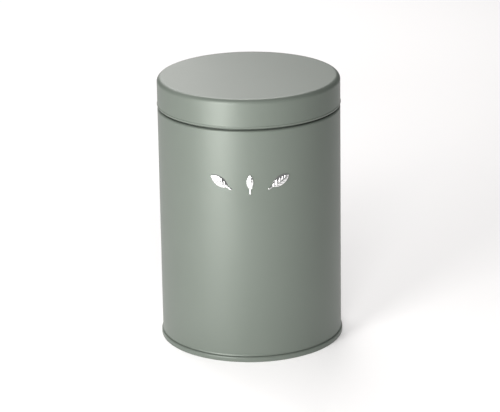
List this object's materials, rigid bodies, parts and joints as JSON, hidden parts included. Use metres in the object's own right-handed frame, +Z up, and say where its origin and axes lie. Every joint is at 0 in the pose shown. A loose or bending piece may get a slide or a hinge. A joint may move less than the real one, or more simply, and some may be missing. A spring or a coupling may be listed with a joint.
{
  "type": "tea tin",
  "caption": "Round painted steel storage tin for tea, with a flush slip-on lid, a seamed base and raised bright leaf ornaments on its front.",
  "frame": {"origin": "centre of the base, on the plane the tin stands on", "axes": "+Z up along the tin's axis, -Y to the front where the leaf ornaments sit, +X to the right seen from the front"},
  "size_m": [0.1013, 0.1019, 0.1483],
  "materials": {
    "sage_paint": "satin metallic",
    "bright_metal": "polished"
  },
  "bodies": {
    "root": {"tin_can": "sage_paint", "base_end": "sage_paint", "lid": "sage_paint", "leaf_left": "bright_metal", "leaf_bud": "bright_metal", "leaf_right": "bright_metal"}
  },
  "joints": []
}
